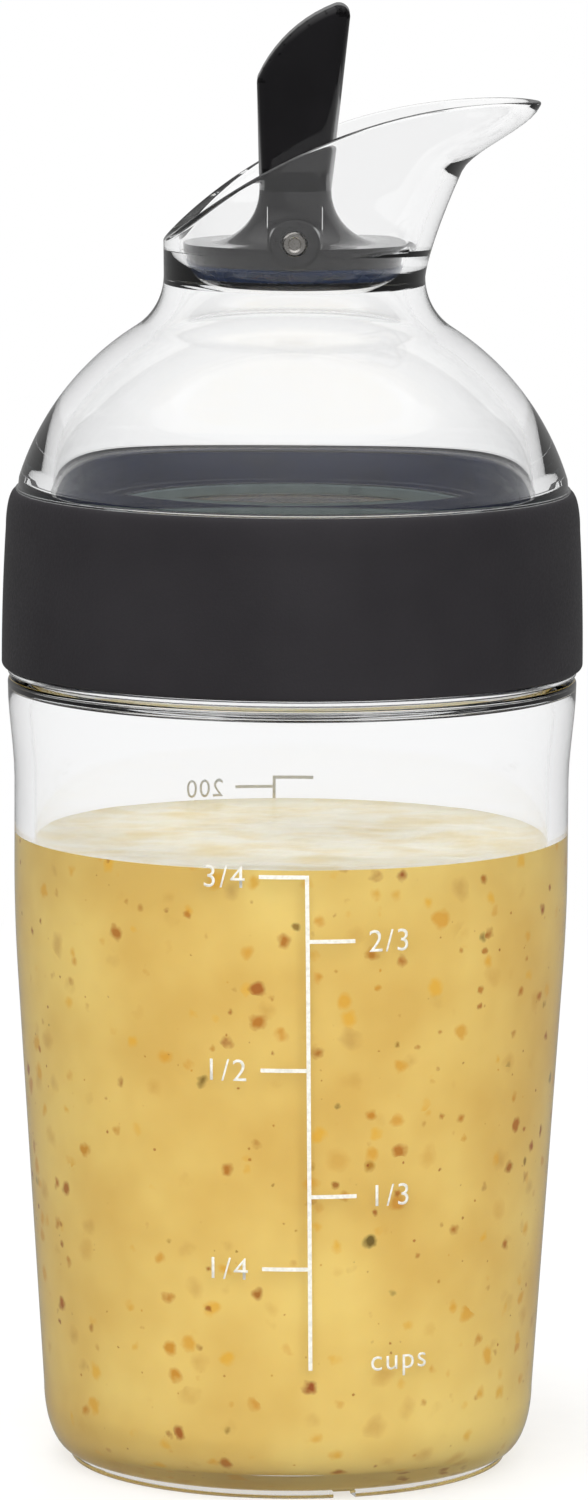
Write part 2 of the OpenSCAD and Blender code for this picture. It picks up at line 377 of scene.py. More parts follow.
def start_material(name: str) -> tuple[bpy.types.Material, bpy.types.NodeTree, bpy.types.Node]:
    """Makes an empty node material and its output node."""
    material = bpy.data.materials.new(name)
    material.use_nodes = True
    tree = material.node_tree
    tree.nodes.clear()
    return material, tree, add_node(tree, "ShaderNodeOutputMaterial")


def noise_on_object(tree: bpy.types.NodeTree, size: float, detail: float = 3.0) -> bpy.types.NodeSocket:
    """Noise on Object coordinates with features of a size in millimetres."""
    place = add_node(tree, "ShaderNodeTexCoord").outputs["Object"]
    return add_node(
        tree, "ShaderNodeTexNoise", {"Vector": place, "Scale": per_mm(size), "Detail": detail}
    ).outputs["Fac"]


def bumped(
    tree: bpy.types.NodeTree, height: bpy.types.NodeSocket, depth: float, strength: float
) -> bpy.types.NodeSocket:
    """A bumped normal from a height pattern whose full depth is in millimetres."""
    return add_node(
        tree, "ShaderNodeBump", {"Height": height, "Distance": depth * MM, "Strength": strength}
    ).outputs["Normal"]


@dataclass(frozen=True)
class ClearPlastic:
    """Clear moulded copolyester: polished, faintly grey-blue where it is thick."""

    name: str
    tint: str = "#93A2AC"
    density: float = 9.0
    ior: float = 1.5
    roughness: float = 0.012
    mould_wave: float = 9.0

    def build(self) -> bpy.types.Material:
        """Polished clear plastic, with thickness darkening its edges and lamps shining through it."""
        material, tree, out = start_material(self.name)
        wave = noise_on_object(tree, self.mould_wave, 1.0)
        # a moulded wall is never quite true: a slow wave of a few hundredths of a millimetre
        surface = add_node(
            tree,
            "ShaderNodeBsdfPrincipled",
            {
                "Base Color": srgb("#FFFFFF"),
                "Transmission Weight": 1.0,
                "IOR": self.ior,
                "Roughness": self.roughness,
                "Normal": bumped(tree, wave, 0.03, 0.15),
            },
        )
        clear = add_node(tree, "ShaderNodeBsdfTransparent", {"Color": srgb("#F4F6F7")})
        lamp_ray = add_node(tree, "ShaderNodeLightPath").outputs["Is Shadow Ray"]
        both = add_node(
            tree, "ShaderNodeMixShader", {0: lamp_ray, 1: surface.outputs["BSDF"], 2: clear.outputs["BSDF"]}
        )
        inside = add_node(
            tree, "ShaderNodeVolumeAbsorption", {"Color": srgb(self.tint), "Density": self.density}
        )
        tree.links.new(both.outputs["Shader"], out.inputs["Surface"])
        tree.links.new(inside.outputs["Volume"], out.inputs["Volume"])
        return material


@dataclass(frozen=True)
class SoftGrip:
    """Soft-touch thermoplastic rubber, moulded with a fine spark-eroded grain."""

    name: str = "soft_touch_rubber_moulded"
    dark: str = "#242225"
    pale: str = "#2A282B"
    grain: float = 0.35
    roughness: float = 0.5
    gloss: float = 0.2

    def build(self) -> bpy.types.Material:
        """Matte brownish black whose grain breaks up the highlight."""
        material, tree, out = start_material(self.name)
        fine = noise_on_object(tree, self.grain, 4.0)
        cloud = noise_on_object(tree, 14.0, 2.0)
        surface = add_node(
            tree,
            "ShaderNodeBsdfPrincipled",
            {
                "Base Color": ramp(tree, cloud, [(0.3, self.dark), (0.7, self.pale)]),
                "Roughness": span(tree, fine, 0.3, 0.7, self.roughness - 0.06, self.roughness + 0.08),
                "IOR": 1.5,
                "Specular IOR Level": self.gloss,
                "Normal": bumped(tree, fine, 0.05, 0.5),
            },
        )
        tree.links.new(surface.outputs["BSDF"], out.inputs["Surface"])
        return material


@dataclass(frozen=True)
class GlossyMoulding:
    """Solid-coloured plastic moulded against polished steel, as ABS or nylon is."""

    name: str
    dark: str
    pale: str
    roughness: float = 0.12
    gloss: float = 0.25
    ripple: float = 6.0

    def build(self) -> bpy.types.Material:
        """Deep glossy colour with a slow ripple in its reflections and faint handling haze."""
        material, tree, out = start_material(self.name)
        slow = noise_on_object(tree, self.ripple, 1.0)
        haze = noise_on_object(tree, 2.2, 4.0)
        surface = add_node(
            tree,
            "ShaderNodeBsdfPrincipled",
            {
                "Base Color": ramp(tree, slow, [(0.3, self.dark), (0.7, self.pale)]),
                "Roughness": span(tree, haze, 0.35, 0.75, self.roughness * 0.8, self.roughness * 1.35),
                "IOR": 1.5,
                "Specular IOR Level": self.gloss,
                "Normal": bumped(tree, slow, 0.05, 0.3),
            },
        )
        tree.links.new(surface.outputs["BSDF"], out.inputs["Surface"])
        return material


@dataclass(frozen=True)
class Silicone:
    """Moulded silicone rubber: satin, a little see-through at thin edges."""

    name: str
    dark: str
    pale: str
    roughness: float = 0.32
    clear: float = 0.0

    def build(self) -> bpy.types.Material:
        """Satin rubber with a soft cloudiness."""
        material, tree, out = start_material(self.name)
        cloud = noise_on_object(tree, 3.0, 3.0)
        surface = add_node(
            tree,
            "ShaderNodeBsdfPrincipled",
            {
                "Base Color": ramp(tree, cloud, [(0.3, self.dark), (0.7, self.pale)]),
                "Roughness": span(tree, cloud, 0.3, 0.7, self.roughness - 0.05, self.roughness + 0.08),
                "IOR": 1.41,
                "Transmission Weight": self.clear,
                "Normal": bumped(tree, cloud, 0.03, 0.3),
            },
        )
        tree.links.new(surface.outputs["BSDF"], out.inputs["Surface"])
        return material


@dataclass(frozen=True)
class TurnedSteel:
    """Stainless steel rod, turned on a lathe and lightly polished."""

    name: str = "stainless_steel_turned"
    bright: str = "#D9D6D2"
    dull: str = "#B4B0AB"
    groove: float = 0.12

    def build(self) -> bpy.types.Material:
        """Bright metal with fine rings round its own axis."""
        material, tree, out = start_material(self.name)
        marks = noise_on_object(tree, self.groove, 2.0)
        surface = add_node(
            tree,
            "ShaderNodeBsdfPrincipled",
            {
                "Base Color": ramp(tree, marks, [(0.3, self.dull), (0.7, self.bright)]),
                "Metallic": 1.0,
                "Roughness": span(tree, marks, 0.3, 0.7, 0.18, 0.34),
                "Normal": bumped(tree, marks, 0.01, 0.4),
            },
        )
        tree.links.new(surface.outputs["BSDF"], out.inputs["Surface"])
        return material


@dataclass(frozen=True)
class Ink:
    """Pad-printed ceramic-white ink: thin, dense and slightly uneven."""

    name: str = "white_ink_printed"
    full: str = "#E9E7DE"
    thin: str = "#D6D3C7"

    def build(self) -> bpy.types.Material:
        """Satin white with slightly thinner spots."""
        material, tree, out = start_material(self.name)
        cover = noise_on_object(tree, 0.5, 3.0)
        surface = add_node(
            tree,
            "ShaderNodeBsdfPrincipled",
            {
                "Base Color": ramp(tree, cover, [(0.3, self.thin), (0.6, self.full)]),
                "Roughness": 0.45,
            },
        )
        tree.links.new(surface.outputs["BSDF"], out.inputs["Surface"])
        return material


@dataclass(frozen=True)
class Specks:
    """One sort of seed or spice in the dressing: a grid of random spots, some of them filled."""

    spacing: float
    small: float
    large: float
    filled: float
    soft: float
    strength: float
    colours: tuple[tuple[float, str], ...]
    shift: float = 0.0

    def over(
        self, tree: bpy.types.NodeTree, place: bpy.types.NodeSocket, under: bpy.types.NodeSocket
    ) -> bpy.types.NodeSocket:
        """Lays the specks over a colour.

        Args:
            tree: The material's nodes.
            place: Object coordinates.
            under: The colour below the specks.

        Returns:
            The colour with the specks on it.
        """
        moved = add_node(tree, "ShaderNodeMapping", {"Vector": place, "Location": (self.shift * MM,) * 3})
        # seeds are lumpy, so their outline is pushed about by a fine noise
        lumps = add_node(
            tree, "ShaderNodeTexNoise", {"Vector": place, "Scale": per_mm(self.large * 1.3), "Detail": 2.0}
        )
        centred = add_node(
            tree, "ShaderNodeVectorMath", {0: lumps.outputs["Color"], 1: (0.5, 0.5, 0.5)}, operation="SUBTRACT"
        )
        pushed = add_node(
            tree,
            "ShaderNodeVectorMath",
            {0: centred.outputs["Vector"], 1: (self.large * 1.1 * MM,) * 3, 2: moved.outputs["Vector"]},
            operation="MULTIPLY_ADD",
        )
        cells = add_node(
            tree, "ShaderNodeTexVoronoi", {"Vector": pushed.outputs["Vector"], "Scale": per_mm(self.spacing)}
        )
        parts = add_node(tree, "ShaderNodeSeparateColor", {"Color": cells.outputs["Color"]})
        size = span(tree, parts.outputs["Green"], 0, 1, self.small / self.spacing, self.large / self.spacing)
        edge = add_node(tree, "ShaderNodeMath", {0: size, 1: cells.outputs["Distance"]}, operation="SUBTRACT")
        shape = span(tree, edge.outputs["Value"], 0, self.soft / self.spacing, 0, self.strength)
        chosen = span(tree, parts.outputs["Red"], self.filled - 0.001, self.filled, 1, 0)
        cover = add_node(tree, "ShaderNodeMath", {0: shape, 1: chosen}, operation="MULTIPLY")
        colour = ramp(tree, parts.outputs["Blue"], self.colours)
        laid = add_node(
            tree,
            "ShaderNodeMix",
            {0: cover.outputs["Value"], 6: under, 7: colour},
            data_type="RGBA",
        )
        return laid.outputs[2]


@dataclass(frozen=True)
class MustardDressing:
    """Emulsified mustard dressing with seeds and spice: creamy, opaque, slightly glossy."""

    name: str = "mustard_dressing_creamy"
    body: str = "#F2D67E"
    deep: str = "#E2BE66"
    foam: str = "#FFF4D6"
    curd: str = "#F6E0A6"

    def build(self) -> bpy.types.Material:
        """Yellow body with drifting streaks, four sorts of specks and a pale frothy top."""
        material, tree, out = start_material(self.name)
        place = add_node(tree, "ShaderNodeTexCoord").outputs["Object"]
        drift = noise_on_object(tree, 16.0, 3.0)
        colour = ramp(tree, drift, [(0.35, self.deep), (0.65, self.body)])
        spice = ((0.0, "#A3641C"), (0.35, "#C27E26"), (0.6, "#98450F"), (0.85, "#D99A2C"), (1.0, "#5E5018"))
        mild = ((0.0, "#C08A3A"), (0.5, "#D39A35"), (1.0, "#B07A38"))
        gold = ((0.0, "#E0A01C"), (0.5, "#ECB52C"), (1.0, "#D48F20"))
        kinds = [
            Specks(4.1, 0.7, 1.7, 0.5, 1.1, 0.4, mild, 3.0),
            Specks(3.3, 0.6, 1.3, 0.5, 0.6, 0.7, gold, 5.0),
            Specks(3.1, 0.5, 1.15, 0.38, 0.55, 0.95, spice, 7.0),
            Specks(2.3, 0.25, 0.6, 0.2, 0.3, 0.85, spice, 9.0),
            Specks(1.3, 0.12, 0.24, 0.2, 0.12, 0.8, spice, 11.0),
        ]
        for kind in kinds:
            colour = kind.over(tree, place, colour)
        facing = add_node(tree, "ShaderNodeNewGeometry").outputs["Normal"]
        up = add_node(tree, "ShaderNodeSeparateXYZ", {"Vector": facing}).outputs["Z"]
        froth = span(tree, up, 0.4, 0.8, 0, 0.93)
        curds = noise_on_object(tree, 7.0, 5.0)
        cream = ramp(tree, curds, [(0.42, self.foam), (0.62, self.curd)])
        topped = add_node(tree, "ShaderNodeMix", {0: froth, 6: colour, 7: cream}, data_type="RGBA")
        surface = add_node(
            tree,
            "ShaderNodeBsdfPrincipled",
            {
                "Base Color": topped.outputs[2],
                "Roughness": span(tree, froth, 0, 1, 0.4, 0.2),
                "IOR": 1.4,
                "Specular IOR Level": 0.25,
                "Subsurface Weight": 0.12,
                "Subsurface Radius": (1.0, 0.7, 0.3),
                "Subsurface Scale": 0.8 * MM,
                "Normal": bumped(tree, noise_on_object(tree, 2.6, 3.0), 0.12, 0.35),
            },
        )
        tree.links.new(surface.outputs["BSDF"], out.inputs["Surface"])
        return material


def dress(piece: bpy.types.Object, material: bpy.types.Material, body: str) -> None:
    """Gives a piece its material and the body it moves with, and logs it.

    Args:
        piece: The finished piece.
        material: Its material.
        body: Name of the body it rides on.
    """
    piece.data.materials.clear()
    piece.data.materials.append(material)
    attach(piece, body)
    log.info("%s: %d faces on %s, %s", piece.name, len(piece.data.polygons), body, material.name)


def top_of(name: str) -> float:
    """Height of a CAD node's top in millimetres."""
    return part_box(name)[1][2] / MM


def foot_of(name: str) -> float:
    """Height of a CAD node's underside in millimetres."""
    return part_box(name)[0][2] / MM


def reach_of(name: str) -> float:
    """Distance of a round CAD node's side from the bottle's axis in millimetres."""
    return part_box(name)[1][1] / MM


# Cup and what is in it


@dataclass
class Cup:
    """The clear cup: rounded foot, tapered wall, shoulder under the lid, and threaded neck."""

    height: float = 104.5
    side_r: float = 32.0
    low_r: float = 28.45
    wall: float = 2.3
    floor_t: float = 2.4
    taper_top: float = 70.0
    ease: float = 13.0
    low_round: float = 7.5
    foot_r: float = 25.3
    foot_w: float = 2.5
    foot_h: float = 1.0
    foot_round: float = 0.35
    neck_h: float = 13.2
    neck_step: float = 3.0
    neck_wall: float = 2.0
    neck_blend: float = 1.4
    swell: float = 0.8
    swell_h: float = 12.0
    shoulder_round: float = 0.5
    inner_round: float = 4.5
    mouth_round: float = 0.6
    notch_w: float = 2.6
    notch_h: float = 0.8
    notches: tuple[float, ...] = (-75.0, 45.0, 165.0)
    ridge: Ridge = field(default_factory=lambda: Ridge(29.0, 0.85, 95.2, 2.0, Turn.OUT))

    @property
    def floor_z(self) -> float:
        """Height of the floor inside."""
        return self.foot_h + self.floor_t

    @property
    def wall_z(self) -> float:
        """Height where the rounded foot becomes the wall."""
        return self.foot_h + self.low_round

    @property
    def shoulder_z(self) -> float:
        """Height of the shoulder that the lid stops above."""
        return self.height - self.neck_h

    @property
    def neck_r(self) -> float:
        """Outside radius of the neck."""
        return self.side_r - self.neck_step

    @property
    def mouth_r(self) -> float:
        """Inside radius of the neck."""
        return self.neck_r - self.neck_wall

    def outside(self, z: float) -> float:
        """Radius of the outside wall at a height."""
        slope = (self.side_r - self.low_r) / (self.taper_top - self.wall_z - self.ease / 2)
        low = max(0.0, self.taper_top - self.ease - z)
        bend = self.ease * clamp((self.taper_top - z) / self.ease) ** 2 / 2
        start = self.shoulder_z - self.swell_h
        rise = smooth((z - start) / (self.shoulder_z - self.shoulder_round - start))
        return self.side_r - slope * (low + bend) + self.swell * rise

    def inside(self, z: float) -> float:
        """Radius of the inside wall at a height."""
        share = smooth((z - self.shoulder_z) / self.neck_blend + 1)
        return mix(self.outside(z) - self.wall, self.mouth_r, share)

    def section(self) -> list[Point]:
        """Half section from the centre underneath, up the outside, and down the inside to the floor."""
        ring_in = self.foot_r - self.foot_w
        foot = eased(
            [
                (0, self.foot_h, 0),
                (ring_in, self.foot_h, self.foot_round),
                (ring_in, 0, self.foot_round),
                (self.foot_r, 0, self.foot_round),
                (self.foot_r, self.foot_h, 0),
            ]
        )
        spread = self.low_r - self.foot_r
        turns = [math.radians(-90 + 90 * i / 14) for i in range(1, 15)]
        corner = [
            (self.foot_r + spread * math.cos(t), self.wall_z + self.low_round * math.sin(t)) for t in turns
        ]
        shoulder_top = self.shoulder_z - self.shoulder_round
        side = [(self.outside(z), z) for z in rows(self.wall_z, shoulder_top, 44)[1:]]
        rim_r = self.outside(self.shoulder_z)
        ease = arc((rim_r - self.shoulder_round, shoulder_top), self.shoulder_round, 0, 90, 6)[1:]
        neck = eased(
            [
                (ease[-1][0], self.shoulder_z, 0),
                (self.neck_r, self.shoulder_z, 0.4),
                (self.neck_r, self.height, self.mouth_round),
                (self.mouth_r, self.height, self.mouth_round),
                (self.mouth_r, self.shoulder_z, 0),
            ]
        )[1:]
        bowl_z = self.floor_z + self.inner_round
        blend_z = self.shoulder_z - self.neck_blend
        step = [(self.inside(z), z) for z in reversed(rows(blend_z, self.shoulder_z, 8)[:-1])]
        down = step + [(self.inside(z), z) for z in reversed(rows(bowl_z, blend_z, 40)[:-1])]
        bowl = arc((self.inside(bowl_z) - self.inner_round, bowl_z), self.inner_round, 0, -90, 10)[1:]
        return foot + corner + side + ease + neck + down + bowl + [(0, self.floor_z)]

    def build(self) -> bpy.types.Object:
        """Turns the section and cuts the drain notches through the foot ring."""
        cup = spun("cup_clear", self.section(), 144, closed=False)
        cutters = bmesh.new()
        for turn in self.notches:
            place = (
                Matrix.Rotation(math.radians(turn), 4, "Z")
                @ Matrix.Translation((self.foot_r - self.foot_w / 2, 0, 0))
                @ Matrix.Diagonal((self.foot_w + 2, self.notch_w, 2 * self.notch_h, 1))
            )
            bmesh.ops.create_cube(cutters, size=1, matrix=place)
        carve(cup, as_object(cutters, "notch_cutter"))
        return cup

    def dress(self, clear: bpy.types.Material) -> None:
        """Builds the cup and its thread and gives both the clear plastic."""
        cup = self.build()
        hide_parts("cup")
        dress(cup, clear, "cup")
        dress(self.ridge.build("cup_thread"), clear, "cup")


@dataclass
class Filling:
    """The dressing in the cup, up against its wall, with a gently folded top."""

    cup: Cup
    level: float
    bite: float = 0.15
    meniscus: float = 0.35
    fold: float = 0.28
    fold_size: float = 9.0
    rings: int = 40

    def build(self) -> bpy.types.Object:
        """Turns the filled space's section and folds its top."""
        cup = self.cup
        bowl_z = cup.floor_z + cup.inner_round
        radius = cup.inner_round + self.bite
        bowl = arc((cup.inside(bowl_z) - cup.inner_round, bowl_z), radius, -90, 0, 10)
        side = [(cup.inside(z) + self.bite, z) for z in rows(bowl_z, self.level, 40)[1:]]
        edge = side[-1][0]
        top = [
            (edge * (1 - k / self.rings), self.level - self.meniscus * (1 - math.exp(-edge * k / self.rings / 1.2)))
            for k in range(1, self.rings + 1)
        ]
        mesh = bmesh.new()
        spin_section(mesh, [(0, cup.floor_z - self.bite), *bowl, *side, *top], 144, closed=False)
        for vert in mesh.verts:
            depth = edge - vert.co.xy.length
            if vert.co.z > self.level - self.meniscus - 0.01 and depth > 0.2:
                swirl = Vector((vert.co.x, vert.co.y * 1.6, 3.0)) / self.fold_size
                wave = noise.noise(swirl) + 0.5 * noise.noise(swirl * 2.3 + Vector((5, 1, 0)))
                vert.co.z += self.fold * wave * smooth(depth / 5)
        return as_object(mesh, "dressing")

    def dress(self, finish: bpy.types.Material) -> None:
        """Builds the dressing, which moves with the cup."""
        dressing = self.build()
        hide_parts("dressing")
        dress(dressing, finish, "cup")


@dataclass(frozen=True)
class Tick:
    """A mark across the scale's line, with its number, or a number alone."""

    z: float
    side: Side
    label: str = ""
    bar: bool = True


@dataclass
class Scale:
    """A measuring scale printed on the outside of the cup."""

    name: str
    cup: Cup
    facing: float
    low: float
    high: float
    ticks: tuple[Tick, ...]
    tick_w: float = 5.4
    line_w: float = 0.45
    digit_h: float = 2.6
    thin: float = 0.012
    gap: float = 1.5
    skew: float = 0.0
    ink_t: float = 0.05
    lift: float = 0.02

    def strip(self, mesh: bmesh.types.BMesh, left: float, right: float, low: float, high: float) -> None:
        """Adds a flat printed bar between two sides and two heights."""
        across = max(1, round((right - left) / 0.6))
        along = max(1, round((high - low) / 1.5))
        place = Matrix.Translation(((left + right) / 2, (low + high) / 2, 0)) @ Matrix.Diagonal(
            ((right - left) / 2, (high - low) / 2, 1, 1)
        )
        bmesh.ops.create_grid(mesh, x_segments=across, y_segments=along, size=1, matrix=place)

    def words(self, mesh: bmesh.types.BMesh, text: str, edge: float, z: float, side: Side) -> None:
        """Adds a number beside the place where its tick ends.

        Args:
            mesh: The flat scale so far.
            text: The number.
            edge: Where the number's near side stands, across the scale.
            z: Height of the number's middle.
            side: Side of the line that it stands on.
        """
        curve = bpy.data.curves.new("number", "FONT")
        curve.body = text
        curve.size = self.digit_h / 0.72
        curve.align_x = "RIGHT" if side is Side.LEFT else "LEFT"
        curve.space_character = 1.12
        curve.offset = -self.thin
        curve.fill_mode = "BOTH"
        holder = bpy.data.objects.new("number", curve)
        bpy.context.scene.collection.objects.link(holder)
        flat = bpy.data.meshes.new_from_object(holder.evaluated_get(bpy.context.evaluated_depsgraph_get()))
        flat.transform(Matrix.Translation((edge, z - self.digit_h / 2, 0)))
        mesh.from_mesh(flat)
        bpy.data.objects.remove(holder)

    def wrap(self, spot: Vector) -> Vector:
        """Carries a point of the flat scale onto the cup's side."""
        radius = self.cup.outside(spot.y) + self.lift
        across = spot.x + self.skew * (spot.y - (self.low + self.high) / 2)
        turn = math.radians(self.facing) + across / radius
        return Vector((radius * math.cos(turn), radius * math.sin(turn), spot.y))

    def build(self) -> bpy.types.Object:
        """Lays out the scale flat, wraps it round the cup and gives the ink its thickness."""
        mesh = bmesh.new()
        half = self.line_w / 2
        self.strip(mesh, -half, half, self.low, self.high)
        for tick in self.ticks:
            if tick.bar:
                ends = sorted((half * tick.side.value, self.tick_w * tick.side.value))
                self.strip(mesh, ends[0], ends[1], tick.z - half, tick.z + half)
            if tick.label:
                edge = (self.tick_w + self.gap) * tick.side.value
                self.words(mesh, tick.label, edge, tick.z, tick.side)
        bmesh.ops.subdivide_edges(
            mesh, edges=[e for e in mesh.edges if e.calc_length() > 2.5], cuts=2, use_grid_fill=False
        )
        for vert in mesh.verts:
            vert.co = self.wrap(vert.co)
        data = bpy.data.meshes.new(self.name)
        bmesh.ops.scale(mesh, vec=(MM, MM, MM), verts=mesh.verts)
        mesh.to_mesh(data)
        mesh.free()
        piece = bpy.data.objects.new(self.name, data)
        bpy.context.scene.collection.objects.link(piece)
        ink = piece.modifiers.new("ink", "SOLIDIFY")
        ink.thickness = self.ink_t * MM
        ink.offset = 1.0
        settle(piece)
        return piece

    def dress(self, ink: bpy.types.Material) -> None:
        """Prints the scale on the cup."""
        dress(self.build(), ink, "cup")


# Lid


@dataclass
class Spout:
    """The pouring spout's outline: round below, drawn forward to a beak above."""

    neck_z: float
    tip_z: float
    radius: float = 15.0
    wall: float = 1.8
    lip_reach: float = 13.3
    lip_r: float = 8.0
    back_swell: float = 0.5
    rim_arc_r: float = 60.0
    rim_x: float = 25.5
    rim_round: float = 0.45

    def rise(self, z: float) -> float:
        """Share of the way from the neck to the tip."""
        return clamp((z - self.neck_z) / (self.tip_z - self.neck_z))

    def reach(self, z: float) -> float:
        """How far the front reaches beyond the round neck at a height."""
        rise = self.rise(z)
        return self.lip_reach * (0.6 * rise**1.3 + 0.4 * smooth((rise - 0.6) / 0.36))

    def plan(self, z: float, turn: float, inset: float) -> Vector:
        """Point of the outline at a height and direction, moved in by an inset."""
        back_r = self.radius + self.back_swell * self.rise(z)
        front_r = mix(back_r, self.lip_r, self.reach(z) / self.lip_reach)
        share = smooth((math.cos(turn) - 0.06) / 0.64)
        radius = mix(back_r, front_r, share) - inset
        centre = mix(self.back_swell / 2 * self.rise(z), self.radius + self.reach(z) - front_r, share)
        return Vector((centre + radius * math.cos(turn), radius * math.sin(turn), z))

    def rim_at(self, x: float) -> float:
        """Height of the rim's arc at a distance forward."""
        return self.tip_z - self.rim_arc_r + math.sqrt(self.rim_arc_r**2 - (x - self.rim_x) ** 2)

    def rim_z(self, turn: float) -> float:
        """Height where the outline meets the rim's arc in a direction."""
        z = self.tip_z
        for _ in range(8):
            z = self.rim_at(self.plan(z, turn, 0).x)
        return z

    def shaped(self, spot: Vector, low: float) -> Vector:
        """Carries a point of a plain round spout to the real one.

        Args:
            spot: Point on the straight spout.
            low: Height from which its wall leaves the neck.

        Returns:
            The point on the drawn-out spout.
        """
        turn = math.atan2(spot.y, spot.x)
        top = self.rim_z(turn)
        below = self.tip_z - spot.z
        if below <= self.rim_round + 1e-4:
            z = top - below
        else:
            z = mix(low, top - self.rim_round, (spot.z - low) / (self.tip_z - self.rim_round - low))
        return self.plan(z, turn, self.radius - spot.xy.length)


@dataclass
class LidShell:
    """Clear one-piece lid: skirt, dome, throat with the valve's round seat, and spout."""

    pin_z: float
    tip_z: float
    skirt_low: float
    seat_z: float
    collar_top: float
    skirt_in: float = 30.0
    skirt_out: float = 31.5
    lip_r: float = 32.8
    lip_t: float = 0.7
    bore_r: float = 27.4
    bore_h: float = 6.5
    dome_r: float = 31.95
    dome_off: float = 1.2
    dome_drop: float = 8.1
    ledge_w: float = 0.3
    ledge_h: float = 0.25
    ledge_blend: float = 1.4
    fillet: float = 7.0
    throat_r: float = 12.5
    wall: float = 2.4
    foot_blend: float = 9.0
    foot_lean: float = 6.0
    foot_w: float = 0.7
    shelf_round: float = 0.6
    seat_r: float = 13.2
    seat_low: float = 5.9
    seat_high: float = 1.7
    pocket_r: float = 3.0
    pocket_y: float = 13.9
    pocket_h: float = 4.2
    pin_r: float = 1.4
    spout_rows: int = 26
    ridge: Ridge = field(default_factory=lambda: Ridge(30.0, 0.85, 93.2, 2.0, Turn.IN))
    spout: Spout = field(init=False)

    def __post_init__(self) -> None:
        """Sets the spout on the neck, where the dome's fillet ends."""
        self.spout = Spout(self.neck_z, self.tip_z)

    @property
    def arc_z(self) -> float:
        """Height of the centre of the dome's arc."""
        return self.collar_top - self.dome_drop

    @property
    def arc_r(self) -> float:
        """Radius of the dome's arc."""
        return math.hypot(self.dome_r - self.dome_off, self.dome_drop)

    @property
    def fillet_x(self) -> float:
        """Distance of the fillet's centre from the axis."""
        return 15.0 + self.fillet

    @property
    def neck_z(self) -> float:
        """Height where the fillet runs out into the upright neck."""
        reach = self.arc_r + self.fillet
        return self.arc_z + math.sqrt(reach**2 - (self.fillet_x - self.dome_off) ** 2)

    @property
    def lean(self) -> float:
        """Direction in degrees in which the dome's arc meets the fillet."""
        return math.degrees(math.atan2(self.neck_z - self.arc_z, self.fillet_x - self.dome_off))

    def outside(self) -> list[Point]:
        """Half section of the outside: lip, skirt, dome, fillet and straight spout."""
        lean = self.lean
        start = math.degrees(math.asin((self.dome_drop + self.ledge_blend) / self.arc_r))
        lip = eased(
            [
                (self.skirt_in, self.skirt_low, 0),
                (self.lip_r, self.skirt_low, 0.25),
                (self.lip_r, self.skirt_low + self.lip_t, 0.25),
                (self.skirt_out, self.skirt_low + self.lip_t, 0),
                (self.skirt_out, self.collar_top, 0),
                (self.dome_r, self.collar_top, 0),
                (self.dome_r, self.collar_top + self.ledge_h, 0.08),
                (self.dome_r - self.ledge_w, self.collar_top + self.ledge_h, 0),
            ]
        )
        dome = arc((self.dome_off, self.arc_z), self.arc_r, start, lean, 40)
        neck = arc((self.fillet_x, self.neck_z), self.fillet, 180 + lean, 180, 12)[1:]
        wall = [(self.spout.radius, z) for z in rows(self.neck_z, self.tip_z - self.spout.rim_round, self.spout_rows)]
        return lip + dome + neck + wall[1:]

    def inside(self) -> list[Point]:
        """Half section of the inside: rim, spout, seat, throat, dome and skirt."""
        spout, rim = self.spout, self.spout.rim_round
        outer = arc((spout.radius - rim, self.tip_z - rim), rim, 0, 90, 5)[1:]
        inner = arc((spout.radius - spout.wall + rim, self.tip_z - rim), rim, 90, 180, 5)
        seat_top = self.pin_z - self.seat_high
        wall = [(spout.radius - spout.wall, z) for z in rows(seat_top, self.tip_z - rim, self.spout_rows)]
        first = -math.degrees(math.asin(self.seat_high / self.seat_r))
        last = -math.degrees(math.asin(self.seat_low / self.seat_r))
        seat = arc((0, self.pin_z), self.seat_r, first, last, 10)
        throat_z = self.pin_z - self.seat_low
        round_r, lean = self.fillet + self.wall, self.lean
        begin = 180 + math.degrees(math.asin((self.neck_z - throat_z) / round_r))
        throat = arc((self.fillet_x, self.neck_z), round_r, begin, 180 + lean, 16)
        inner_r = self.arc_r - self.wall
        low = math.asin((self.dome_drop + self.foot_blend) / inner_r)
        dome = arc((self.dome_off, self.arc_z), inner_r, lean, math.degrees(low), 24)
        # from the dome's even wall down its thicker foot, over a small round shelf, into the bore
        shelf_z, ease = self.seat_z + self.bore_h, self.shelf_round
        start, end = Vector(dome[-1]), Vector((self.bore_r + self.foot_w, shelf_z + ease))
        fall, tilt = Vector((math.sin(low), -math.cos(low))), math.radians(self.foot_lean)
        rise, gap = Vector((-math.sin(tilt), math.cos(tilt))), end - start
        meet = (gap.x * rise.y - gap.y * rise.x) / (fall.x * rise.y - fall.y * rise.x)
        middle = Vector((self.bore_r + self.foot_w / 2, shelf_z))
        foot = (
            swept(start, start + fall * meet, end, 14)
            + swept(end, Vector((end.x, shelf_z)), middle, 5)[1:]
            + swept(middle, Vector((self.bore_r, shelf_z)), Vector((self.bore_r, shelf_z - ease)), 5)[1:]
        )
        return (
            outer
            + inner
            + wall[-2::-1]
            + seat
            + throat
            + dome[1:]
            + foot[1:]
            + [(self.bore_r, self.seat_z), (self.skirt_in, self.seat_z)]
        )

    def build(self) -> bpy.types.Object:
        """Turns the shell, draws the spout forward and cuts the pockets round the pin."""
        mesh = bmesh.new()
        spin_section(mesh, self.outside() + self.inside(), 160, closed=True)
        seat_top = self.pin_z - self.seat_high
        for vert in mesh.verts:
            radius = vert.co.xy.length
            outer = radius > self.spout.radius - self.spout.wall / 2
            low = self.neck_z if outer else seat_top
            if vert.co.z > low + 1e-4 and radius < self.spout.radius + 1e-3:
                vert.co = self.spout.shaped(vert.co, low)
        lid = as_object(mesh, "lid_clear", 32.0)
        carve(lid, self.pockets(), 32.0)
        return lid

